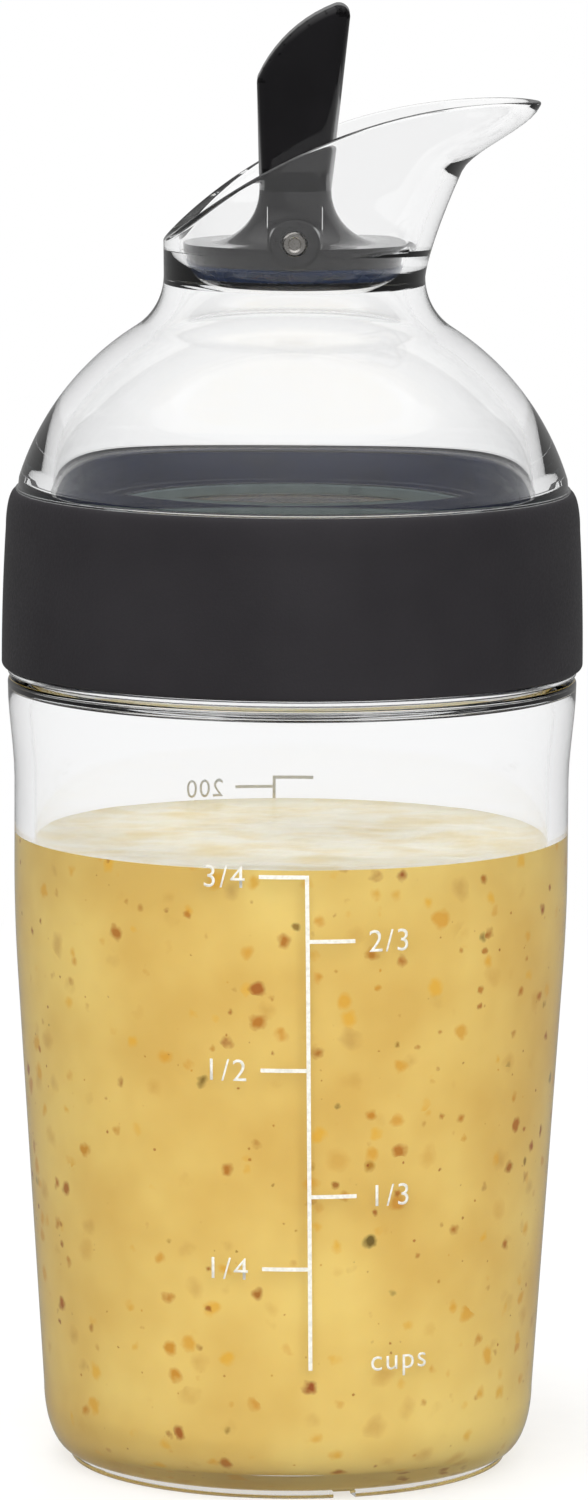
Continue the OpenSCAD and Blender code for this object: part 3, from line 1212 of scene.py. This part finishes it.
    def pockets(self) -> bpy.types.Object:
        """The slots that the lever's knuckles drop into, as a cutter."""
        mesh = bmesh.new()
        turned = Matrix.Rotation(math.pi / 2, 4, "X")
        bmesh.ops.create_cone(
            mesh,
            cap_ends=True,
            segments=48,
            radius1=self.pocket_r,
            radius2=self.pocket_r,
            depth=2 * self.pocket_y,
            matrix=Matrix.Translation((0, 0, self.pin_z)) @ turned,
        )
        # the upper half of the round is drawn out to a square-topped slot
        for vert in mesh.verts:
            if vert.co.z > self.pin_z + 0.001:
                vert.co.x, vert.co.z = math.copysign(self.pocket_r, vert.co.x), self.pin_z + self.pocket_h
        bmesh.ops.remove_doubles(mesh, verts=mesh.verts, dist=0.001)
        return as_object(mesh, "pocket_cutter")

    def bores(self) -> bpy.types.Object:
        """The bore through both walls for the pin, as a cutter."""
        mesh = bmesh.new()
        bmesh.ops.create_cone(
            mesh,
            cap_ends=True,
            segments=40,
            radius1=self.pin_r,
            radius2=self.pin_r,
            depth=40,
            matrix=Matrix.Translation((0, 0, self.pin_z)) @ Matrix.Rotation(math.pi / 2, 4, "X"),
        )
        return as_object(mesh, "bore_cutter")

    def dress(self, clear: bpy.types.Material) -> None:
        """Builds the shell and its thread and gives both the clear plastic."""
        lid = self.build()
        carve(lid, self.bores(), 32.0)
        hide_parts("lid_shell")
        dress(lid, clear, "lid")
        dress(self.ridge.build("lid_thread"), clear, "lid")


@dataclass
class Collar:
    """What is seen round the lid's skirt: hard ring, soft band over it, and gasket inside."""

    low: float
    top: float
    band_r: float
    ring_in: float = 31.7
    ring_t: float = 0.9
    ring_drop: float = 1.7
    band_t: float = 0.7
    lean: float = 0.45
    crown: float = 4.2
    crown_r: float = 31.95
    over: float = 1.6
    edge: float = 0.6

    def ring(self) -> bpy.types.Object:
        """The hard ring on the skirt, with eased edges."""
        out, high = self.ring_in + self.ring_t, self.top - self.ring_drop
        section = eased(
            [
                (self.ring_in, mix(self.low, high, 0.5), 0),
                (self.ring_in, self.low, 0.2),
                (out, self.low, 0.2),
                (out, high, 0.2),
                (self.ring_in, high, 0.2),
                (self.ring_in, mix(self.low, high, 0.5), 0),
            ]
        )
        return spun("collar_ring_hard", section[:-1])

    def band(self) -> bpy.types.Object:
        """The soft band: a little lean, then a crown that turns in to the dome's edge."""
        inner = self.band_r - self.band_t
        low_z, bend_z = self.low + self.edge, self.top - self.crown
        foot = arc((self.band_r - self.edge, low_z), self.edge, -90, 0, 6)
        side = [(self.band_r - self.lean * (i / 16) ** 2, mix(low_z, bend_z, i / 16)) for i in range(1, 17)]
        turn_x = self.band_r - self.lean - self.crown_r
        crown = [
            (self.crown_r + turn_x * math.cos(math.radians(a)), bend_z + self.crown * math.sin(math.radians(a)))
            for a in rows(4, 90, 14)
        ]
        under = [(self.ring_in, self.top), (self.ring_in, self.top - self.over), (inner, self.top - self.over)]
        return spun("grip_band_soft", [(inner, self.low), *foot, *side, *crown, *under], 160)

    def gasket(self, low: float, high: float, inner: float, outer: float) -> bpy.types.Object:
        """The flat gasket on the cup's mouth, with eased edges."""
        middle = (low + high) / 2
        section = eased(
            [
                (inner, middle, 0),
                (inner, low, 0.3),
                (outer, low, 0.3),
                (outer, high, 0.3),
                (inner, high, 0.3),
                (inner, middle, 0),
            ]
        )
        return spun("lid_gasket_rubber", section[:-1])

    def dress(
        self, hard: bpy.types.Material, soft: bpy.types.Material, rubber: bpy.types.Material, mouth_r: float
    ) -> None:
        """Builds ring, band and gasket in their own finishes.

        Args:
            hard: Finish of the ring.
            soft: Finish of the band.
            rubber: Finish of the gasket.
            mouth_r: Inside radius of the cup's mouth, which the gasket clears.
        """
        ring, band = self.ring(), self.band()
        gasket = self.gasket(
            foot_of("lid_gasket"), top_of("lid_gasket"), mouth_r + 0.15, reach_of("lid_gasket")
        )
        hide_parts("collar_ring")
        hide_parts("grip_band")
        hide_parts("lid_gasket")
        dress(ring, hard, "collar")
        dress(band, soft, "lid")
        dress(gasket, rubber, "gasket")


@dataclass
class Valve:
    """The tilting valve: lever with its flap, the seal round the flap, and the pin."""

    pin_z: float
    pin_end: float
    pin_r: float = 1.4
    flap_r: float = 12.85
    flap_low: float = -5.7
    flap_top: float = -0.7
    groove_r: float = 11.25
    seal_r: float = 13.15
    seal_low: float = -4.7
    seal_high: float = -3.1
    dish_r: float = 7.5
    dish_h: float = 2.0
    knuckle_r: float = 2.75
    knuckle_y: float = 13.7
    stem_r: float = 4.1
    flare_r: float = 6.0
    flare_sink: float = 0.04
    foot_t: float = 7.8
    head_t: float = 10.2
    back_lean: float = 0.4
    width: float = 10.0
    height: float = 26.4
    thumb_drop: float = 8.2
    thumb_r: float = 16.0
    rounding: float = 1.3
    tip_inset: float = 1.5
    tip_drop: float = 0.9

    @property
    def stem_z(self) -> float:
        """Height above the pin where the flare has become the stem."""
        return self.flap_top - self.flare_sink + self.flare_r

    def flap(self, mesh: bmesh.types.BMesh) -> None:
        """Adds the flap and the flare that carries the lever."""
        low, high, ball = self.flap_low, self.flap_top, self.flap_r

        def rim(start: float, end: float) -> list[Point]:
            """Points of the flap's round rim between two heights."""
            return [(math.sqrt(ball**2 - z * z), z) for z in rows(start, end, 5)]

        flare = arc((self.stem_r + self.flare_r, self.stem_z), self.flare_r, -92, -180, 18)
        section = (
            [(0, low + self.dish_h), (self.dish_r - 0.3, low + self.dish_h), (self.dish_r, low + 0.3)]
            + [(self.dish_r + 0.3, low)]
            + rim(low, self.seal_low)
            + [(self.groove_r, self.seal_low), (self.groove_r, self.seal_high)]
            + rim(self.seal_high, high)
            + flare
            + [(self.stem_r, self.stem_z + 1.5), (0, self.stem_z + 1.5)]
        )
        spin_section(mesh, section, 96, closed=False)

    def ribs(self, mesh: bmesh.types.BMesh, thick: float = 1.2) -> None:
        """Adds the three crossed ribs in the dish under the flap."""
        for turn in (0, 60, 120):
            place = (
                Matrix.Rotation(math.radians(turn), 4, "Z")
                @ Matrix.Translation((0, 0, self.flap_low + self.dish_h / 2 + 0.1))
                @ Matrix.Diagonal((2 * self.dish_r, thick, self.dish_h, 1))
            )
            made = bmesh.ops.create_cube(mesh, size=1, matrix=place)
            edges = list({e for v in made["verts"] for e in v.link_edges})
            bmesh.ops.bevel(
                mesh, geom=edges, offset=0.15, affect="EDGES", segments=2, profile=0.5, material=-1
            )

    def knuckles(self, mesh: bmesh.types.BMesh) -> None:
        """Adds the hinge barrels on the pin, with rounded ends."""
        inner, outer = self.stem_r - 1, self.knuckle_y
        section = eased(
            [
                (self.pin_r + 0.05, inner, 0),
                (self.knuckle_r, inner, 0),
                (self.knuckle_r, outer, 0.35),
                (self.pin_r + 0.05, outer, 0),
            ]
        )
        for side in (1.0, -1.0):
            start = len(mesh.verts)
            spin_section(mesh, section, 48, closed=True, axis=Vector((0, 1, 0)))
            mesh.verts.ensure_lookup_table()
            if side < 0:
                for vert in mesh.verts[start:]:
                    vert.co.y *= -1

    def thumb_face(self) -> list[Point]:
        """Centres of the rounding along the arched thumb face, behind to front."""
        back = -self.foot_t / 2 - self.back_lean
        chord = Vector((self.head_t - self.tip_inset, self.thumb_drop))
        lean = math.atan2(chord.y, chord.x)
        half = chord.length / 2
        turn = math.asin(min(1.0, half / self.thumb_r))
        depth = math.sqrt(max(0.0, self.thumb_r**2 - half**2))
        centre = Vector((back, self.height - self.thumb_drop)) + chord / 2 + depth * Vector(
            (math.sin(lean), -math.cos(lean))
        )
        radius = self.thumb_r - self.rounding
        turns = [lean + math.pi / 2 + turn * (1 - 2 * i / 10) for i in range(11)]
        return [(centre.x + radius * math.cos(t), centre.y + radius * math.sin(t)) for t in turns]

    def paddle(self, mesh: bmesh.types.BMesh) -> None:
        """Adds the lever's blade: flat cheeks, rounded edges and the slanted thumb face."""
        head_x = -self.foot_t / 2 - self.back_lean + self.head_t
        foot_z, foot_x = self.stem_z + 2.6, self.foot_t / 2
        spots = self.thumb_face() + [
            (head_x - self.rounding, self.height - self.rounding - self.tip_drop),
            (foot_x - self.rounding, foot_z),
            (-foot_x + self.rounding, foot_z),
        ]
        hull: list[bmesh.types.BMVert] = []
        for x, z in spots:
            for side in (-1, 1):
                place = Matrix.Translation((x, side * (self.width / 2 - self.rounding), z))
                ball = bmesh.ops.create_uvsphere(
                    mesh, u_segments=24, v_segments=16, radius=self.rounding, matrix=place
                )
                hull += ball["verts"]
        root = Matrix.Translation((0, 0, self.stem_z))
        ring = bmesh.ops.create_circle(mesh, cap_ends=True, radius=self.stem_r, segments=48, matrix=root)
        hull += ring["verts"]
        made = bmesh.ops.convex_hull(mesh, input=hull, use_existing_faces=False)
        spare = [g for g in made["geom_interior"] if isinstance(g, bmesh.types.BMVert)]
        bmesh.ops.delete(mesh, geom=spare, context="VERTS")

    def build_lever(self) -> bpy.types.Object:
        """The black lever: blade, flare, flap and knuckles."""
        blade = bmesh.new()
        self.paddle(blade)
        blade_piece = as_object(blade, "lever_blade", 50.0)
        mesh = bmesh.new()
        self.flap(mesh)
        self.ribs(mesh)
        self.knuckles(mesh)
        base = as_object(mesh, "lever_black", 38.0)
        joined = bmesh.new()
        for part in (base, blade_piece):
            joined.from_mesh(part.data)
        bmesh.ops.translate(joined, vec=(0, 0, self.pin_z * MM), verts=joined.verts)
        joined.to_mesh(base.data)
        joined.free()
        bpy.data.objects.remove(blade_piece)
        shade(base, 42.0)
        return base

    def build_seal(self) -> bpy.types.Object:
        """The silicone ring in the flap's groove, with a soft outer bead."""
        low, high = self.pin_z + self.seal_low, self.pin_z + self.seal_high
        bead = [(math.sqrt(self.seal_r**2 - (z - self.pin_z) ** 2), z) for z in rows(low + 0.15, high - 0.15, 8)]
        section = [(self.groove_r, low), (bead[0][0] - 0.25, low), *bead, (bead[-1][0] - 0.25, high)]
        return spun("valve_seal_silicone", section + [(self.groove_r, high)], 128)

    def build_pin(self) -> bpy.types.Object:
        """The steel pin, chamfered, with a shallow turned dish in each end."""
        end, radius = self.pin_end, self.pin_r
        half = [
            (0, end - 0.35),
            (radius * 0.45, end - 0.3),
            (radius * 0.62, end - 0.05),
            (radius * 0.72, end),
            (radius - 0.2, end),
            (radius, end - 0.2),
            (radius, 1.0),
        ]
        mesh = bmesh.new()
        section = half + [(r, -y) for r, y in reversed(half)]
        spin_section(mesh, section, 48, closed=False, axis=Vector((0, 1, 0)))
        bmesh.ops.translate(mesh, vec=(0, 0, self.pin_z), verts=mesh.verts)
        return as_object(mesh, "pivot_pin_steel")

    def dress(self, black: bpy.types.Material, rubber: bpy.types.Material, steel: bpy.types.Material) -> None:
        """Builds lever, seal and pin in their own finishes."""
        lever, seal, pin = self.build_lever(), self.build_seal(), self.build_pin()
        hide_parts("lever")
        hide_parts("valve_seal")
        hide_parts("pivot_pin")
        dress(lever, black, "lever")
        dress(seal, rubber, "lever")
        dress(pin, steel, "lid")


# Studio


@dataclass
class Studio:
    """Camera, lamps, world and the pale floor."""

    camera_at: tuple[float, float, float] = (0.00027, -0.9496, 0.2104)
    pitch: float = 0.1337
    roll: float = 0.344
    focal_px: float = 8293.0
    image_h: int = 1500
    sensor: float = 36.0
    floor_r: float = 6.0
    room_light: float = 0.55
    mirror_light: float = 0.3
    mirror_top: float = 1.3
    floor_lift: float = 0.55
    table_glow: float = 0.5

    def camera(self) -> None:
        """Places the camera at the photograph's view."""
        data = bpy.data.cameras.new("view")
        data.sensor_width = self.sensor
        data.sensor_fit = "AUTO"
        data.lens = self.focal_px / self.image_h * self.sensor
        data.clip_end = 50.0
        camera = bpy.data.objects.new("view", data)
        look = Matrix.Rotation(math.pi / 2 - self.pitch, 4, "X") @ Matrix.Rotation(math.radians(self.roll), 4, "Z")
        camera.matrix_world = Matrix.Translation(self.camera_at) @ look
        bpy.context.scene.collection.objects.link(camera)
        bpy.context.scene.camera = camera

    def lamp(
        self, name: str, at: tuple[float, float, float], width: float, power: float, mirrored: bool
    ) -> None:
        """Hangs a square soft lamp that points at the bottle's middle.

        Args:
            name: Name of the lamp.
            at: Its place in metres.
            width: Its side in metres.
            power: Its power in watts.
            mirrored: Whether it shows in glossy and clear surfaces.
        """
        data = bpy.data.lights.new(name, "AREA")
        data.shape = "SQUARE"
        data.size = width
        data.energy = power
        lamp = bpy.data.objects.new(name, data)
        lamp.visible_glossy = mirrored
        lamp.visible_transmission = mirrored
        aim = Vector((0, 0, 0.09)) - Vector(at)
        lamp.matrix_world = Matrix.Translation(at) @ aim.to_track_quat("-Z", "Y").to_matrix().to_4x4()
        bpy.context.scene.collection.objects.link(lamp)

    def seen(self, tree: bpy.types.NodeTree) -> tuple[bpy.types.NodeSocket, bpy.types.NodeSocket]:
        """1 for what is seen straight or through clear plastic, and 1 for what is mirrored."""
        path = add_node(tree, "ShaderNodeLightPath")
        direct = add_node(
            tree,
            "ShaderNodeMath",
            {0: path.outputs["Is Camera Ray"], 1: path.outputs["Is Transmission Ray"]},
            operation="MAXIMUM",
        )
        mirrored = add_node(
            tree,
            "ShaderNodeMath",
            {0: path.outputs["Is Glossy Ray"], 1: path.outputs["Is Transmission Ray"]},
            operation="GREATER_THAN",
        )
        return direct.outputs["Value"], mirrored.outputs["Value"]

    def world(self) -> None:
        """White all round where it is seen, softer where mirrored, and plain light for the object."""
        world = bpy.data.worlds.new("room")
        world.use_nodes = True
        tree = world.node_tree
        tree.nodes.clear()
        out = add_node(tree, "ShaderNodeOutputWorld")
        way = add_node(tree, "ShaderNodeTexCoord").outputs["Generated"]
        up = add_node(tree, "ShaderNodeSeparateXYZ", {"Vector": way}).outputs["Z"]
        ceiling = span(tree, up, 0.55, 0.85, self.mirror_light, self.mirror_top)
        direct, mirrored = self.seen(tree)
        levels = {"plain": self.room_light, "white": 1.0, "mirror": ceiling}
        plain, white, mirror = (
            add_node(tree, "ShaderNodeBackground", {"Color": srgb("#FFFFFF"), "Strength": level})
            for level in levels.values()
        )
        both = add_node(
            tree,
            "ShaderNodeMixShader",
            {0: direct, 1: plain.outputs["Background"], 2: white.outputs["Background"]},
        )
        every = add_node(
            tree,
            "ShaderNodeMixShader",
            {0: mirrored, 1: both.outputs["Shader"], 2: mirror.outputs["Background"]},
        )
        tree.links.new(every.outputs["Shader"], out.inputs["Surface"])
        bpy.context.scene.world = world

    def floor(self) -> None:
        """A pale round floor that fades into the white room and keeps the bottle's soft shadow."""
        mesh = bmesh.new()
        bmesh.ops.create_circle(mesh, cap_ends=True, radius=self.floor_r, segments=96)
        data = bpy.data.meshes.new("floor")
        mesh.to_mesh(data)
        mesh.free()
        floor = bpy.data.objects.new("floor", data)
        bpy.context.scene.collection.objects.link(floor)
        material, tree, out = start_material("floor_pale_paper")
        place = add_node(tree, "ShaderNodeTexCoord").outputs["Object"]
        away = add_node(tree, "ShaderNodeVectorMath", {0: place}, operation="LENGTH").outputs["Value"]
        fibre = noise_on_object(tree, 6.0, 3.0)
        paper = add_node(
            tree, "ShaderNodeBsdfDiffuse", {"Color": ramp(tree, fibre, [(0.3, "#F2F2F1"), (0.7, "#F6F6F5")])}
        )
        direct, mirrored = self.seen(tree)
        fade = span(tree, away, 0.035, 0.4, self.floor_lift, 1.0)
        lift = add_node(
            tree, "ShaderNodeMath", {0: fade, 1: direct}, operation="MULTIPLY"
        ).outputs["Value"]
        # the paper glows a little for every ray, as a light table does, so the foot isn't black
        share = add_node(tree, "ShaderNodeMath", {0: lift, 1: self.table_glow}, operation="MAXIMUM")
        white = add_node(tree, "ShaderNodeEmission", {"Color": srgb("#FFFFFF"), "Strength": 1.0})
        dim = add_node(tree, "ShaderNodeEmission", {"Color": srgb("#FFFFFF"), "Strength": self.mirror_light})
        both = add_node(
            tree,
            "ShaderNodeMixShader",
            {0: share.outputs["Value"], 1: paper.outputs["BSDF"], 2: white.outputs["Emission"]},
        )
        every = add_node(
            tree,
            "ShaderNodeMixShader",
            {0: mirrored, 1: both.outputs["Shader"], 2: dim.outputs["Emission"]},
        )
        tree.links.new(every.outputs["Shader"], out.inputs["Surface"])
        floor.data.materials.append(material)

    def build(self) -> None:
        """Sets up everything that isn't the object."""
        scene = bpy.context.scene
        scene.view_settings.view_transform = "Standard"
        self.camera()
        self.world()
        self.floor()
        self.lamp("front", (0.2, -1.45, 0.75), 1.2, 14.5, mirrored=False)
        self.lamp("top", (-0.25, -0.3, 1.75), 0.8, 15.0, mirrored=False)
        self.lamp("back", (0.3, 1.4, 0.9), 1.0, 12.0, mirrored=False)


def front_scale(cup: Cup) -> Scale:
    """The scale in cups on the front."""
    return Scale(
        name="scale_front",
        cup=cup,
        facing=-85.9,
        low=15.7,
        high=72.8,
        skew=-0.017,
        ticks=(
            Tick(72.6, Side.LEFT, "3/4"),
            Tick(65.3, Side.RIGHT, "2/3"),
            Tick(50.5, Side.LEFT, "1/2"),
            Tick(35.9, Side.RIGHT, "1/3"),
            Tick(27.5, Side.LEFT, "1/4"),
            Tick(16.7, Side.RIGHT, "cups", bar=False),
        ),
    )


def back_scale(cup: Cup) -> Scale:
    """The scale in millilitres, and one in ounces beside it, on the back."""
    ounces = tuple(Tick(75.4 - 11.2 * k, Side.LEFT, str(7 - k) if k else "") for k in range(6))
    millilitres = tuple(Tick(74.4 - 18.6 * k, Side.RIGHT, str(200 - 50 * k)) for k in range(4))
    return Scale(
        name="scale_back",
        cup=cup,
        facing=93.9,
        low=15.7,
        high=75.6,
        tick_w=4.9,
        line_w=0.38,
        digit_h=2.25,
        ticks=ounces + millilitres,
    )


def main() -> None:
    """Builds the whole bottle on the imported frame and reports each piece."""
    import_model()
    Studio().build()

    cup = Cup(height=top_of("cup"))
    cup.dress(ClearPlastic("copolyester_clear_moulded_cup").build())
    Filling(cup, top_of("dressing") + 0.15).dress(MustardDressing().build())
    ink = Ink().build()
    front_scale(cup).dress(ink)
    back_scale(cup).dress(ink)

    pin_low, pin_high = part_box("pivot_pin")
    pin_z = (pin_low[2] + pin_high[2]) / 2 / MM
    LidShell(
        pin_z=pin_z,
        tip_z=top_of("lid_shell"),
        skirt_low=foot_of("lid_shell"),
        seat_z=top_of("lid_gasket"),
        collar_top=top_of("grip_band"),
    ).dress(ClearPlastic("copolyester_clear_moulded_lid").build())
    Collar(low=foot_of("grip_band"), top=top_of("grip_band"), band_r=reach_of("grip_band")).dress(
        GlossyMoulding("abs_navy_black_polished", "#0C1636", "#111D42", 0.2).build(),
        SoftGrip().build(),
        Silicone("silicone_grey_green_gasket", "#505B5C", "#5C6768").build(),
        cup.mouth_r,
    )
    Valve(pin_z=pin_z, pin_end=pin_high[1] / MM).dress(
        GlossyMoulding("abs_black_polished", "#0B0A0C", "#100F11", 0.08, 0.3).build(),
        Silicone("silicone_navy_seal", "#16233C", "#1D2C49", 0.25).build(),
        TurnedSteel().build(),
    )


if __name__ == "__main__":
    main()
